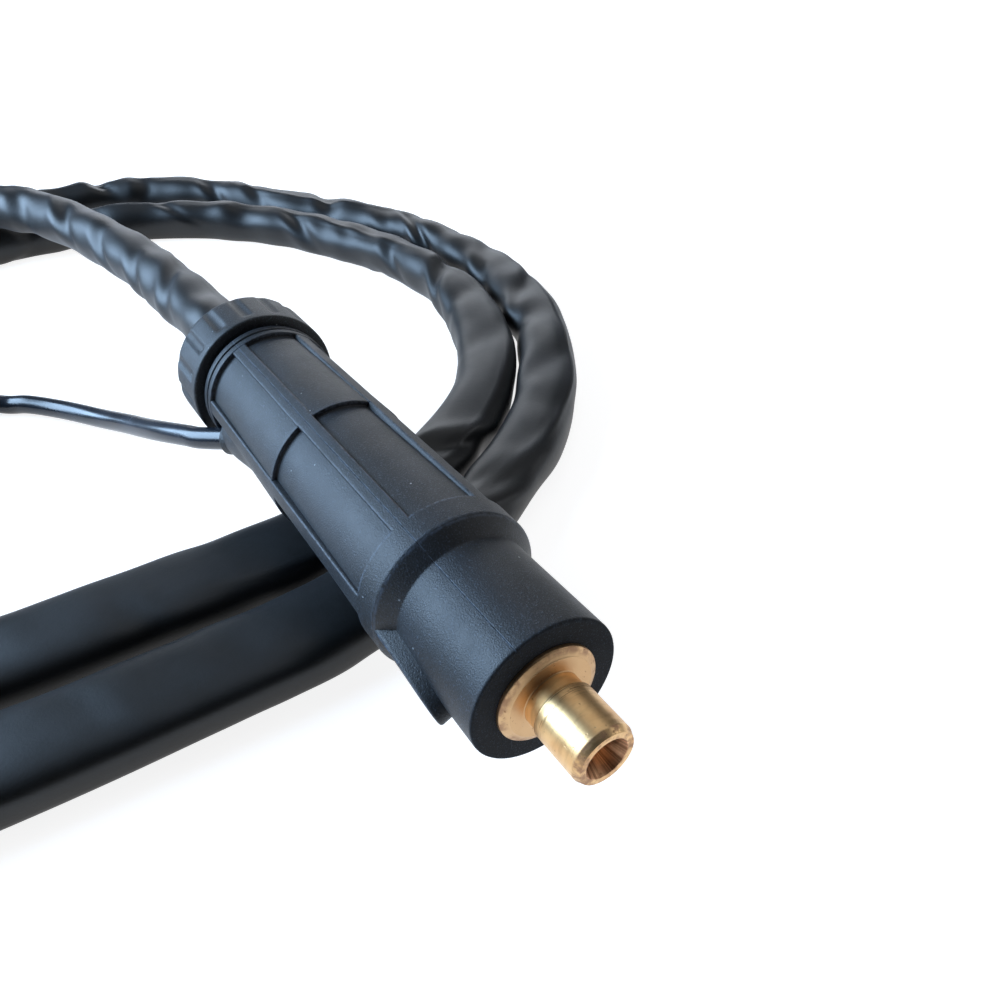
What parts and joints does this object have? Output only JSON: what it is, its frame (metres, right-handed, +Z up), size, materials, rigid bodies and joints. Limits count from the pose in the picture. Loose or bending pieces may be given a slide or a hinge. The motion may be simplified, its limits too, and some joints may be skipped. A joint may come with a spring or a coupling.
{
  "type": "tig torch",
  "caption": "TIG welding torch with a gas-through cable plug, a sleeved hose laid in a coil, a control lead with its plug, and a hand torch with trigger, cup and back cap.",
  "frame": {"origin": "on the plug pin's axis, halfway along the pin's full-diameter length", "axes": "+X along the plug pin, out of the plug, +Z up, away from the surface that the hose lies on"},
  "size_m": [0.4141, 0.5027, 0.0516],
  "materials": {
    "brass": "turned, polished",
    "steel": "nickel plated",
    "copper": "turned copper",
    "housing_plastic": "fine moulded grain, satin",
    "rubber": "smooth",
    "lead_jacket": "glossy extruded jacket",
    "cable_jacket": "smooth",
    "sleeve": "soft black sleeve with a satin face and cross creases",
    "insert_plastic": "moulded",
    "handle_plastic": "moulded, satin",
    "trigger_plastic": "moulded",
    "phenolic": "moulded, slightly glossy",
    "ceramic": "pink fired alumina",
    "tungsten": "ground"
  },
  "bodies": {
    "torch_and_lead": {"plug_body": "brass", "clamp_screws": "steel", "power_cable": "cable_jacket", "crimp_ferrule": "steel", "housing_left": "housing_plastic", "housing_right": "housing_plastic", "lead_grommet": "rubber", "lead_inner": "lead_jacket", "hose_lead": "sleeve", "hose_coil": "sleeve", "hose_tail": "sleeve", "control_lead": "lead_jacket", "control_plug_shell": "steel", "control_plug_insert": "insert_plastic", "control_plug_contacts": "brass", "control_plug_relief": "rubber", "cable_boot": "rubber", "handle_upper": "handle_plastic", "handle_lower": "handle_plastic", "handle_screws": "steel", "microswitch": "insert_plastic", "switch_lead": "lead_jacket", "gas_and_power_tube": "cable_jacket", "neck_tube": "copper", "neck_jacket": "phenolic", "head_body": "copper", "head_jacket": "phenolic", "collet": "copper", "collet_body": "brass", "cup_gasket": "insert_plastic"},
    "nut_carrier": {"clamp_ring": "housing_plastic"},
    "nut": {"collar_nut": "housing_plastic"},
    "control_ring": {"control_plug_ring": "steel"},
    "trigger": {"trigger_button": "trigger_plastic"},
    "cap_carrier": {"cap_o_ring": "rubber"},
    "cap": {"back_cap": "phenolic"},
    "cup": {"gas_cup": "ceramic"},
    "electrode": {"electrode": "tungsten"}
  },
  "joints": [
    {"name": "nut_turn", "type": "hinge", "parent": "nut_carrier", "child": "nut", "pos_m": [-0.15, 0, 0], "axis": [-1, 0, 0], "range_deg": [0, 1080]},
    {"name": "nut_travel", "type": "slide", "parent": "torch_and_lead", "child": "nut_carrier", "axis": [-1, 0, 0], "range_m": [0, 0.009]},
    {"name": "control_ring_turn", "type": "hinge", "parent": "torch_and_lead", "child": "control_ring", "pos_m": [-0.23, -0.19, -0.023], "axis": [0, -1, 0], "continuous": true},
    {"name": "trigger_press", "type": "slide", "parent": "torch_and_lead", "child": "trigger", "axis": [0, -1, 0], "range_m": [0, 0.0022], "stiffness_N_per_m": 400},
    {"name": "cap_turn", "type": "hinge", "parent": "cap_carrier", "child": "cap", "pos_m": [-0.028, -0.266, -0.00263], "axis": [-0.342, 0.9397, 0], "range_deg": [0, 2160]},
    {"name": "cap_travel", "type": "slide", "parent": "torch_and_lead", "child": "cap_carrier", "axis": [-0.342, 0.9397, 0], "range_m": [0, 0.006]},
    {"name": "cup_turn", "type": "hinge", "parent": "torch_and_lead", "child": "cup", "pos_m": [-0.028, -0.266, -0.00263], "axis": [0.342, -0.9397, 0], "range_deg": [0, 90]},
    {"name": "electrode_slide", "type": "slide", "parent": "torch_and_lead", "child": "electrode", "axis": [0.342, -0.9397, 0], "range_m": [-0.01, 0.01]}
  ],
  "couplings": [
    {"joint": "nut_turn", "follows": "nut_travel", "rad_per_m": 2094.4},
    {"joint": "cap_turn", "follows": "cap_travel", "rad_per_m": 6283.2}
  ]
}
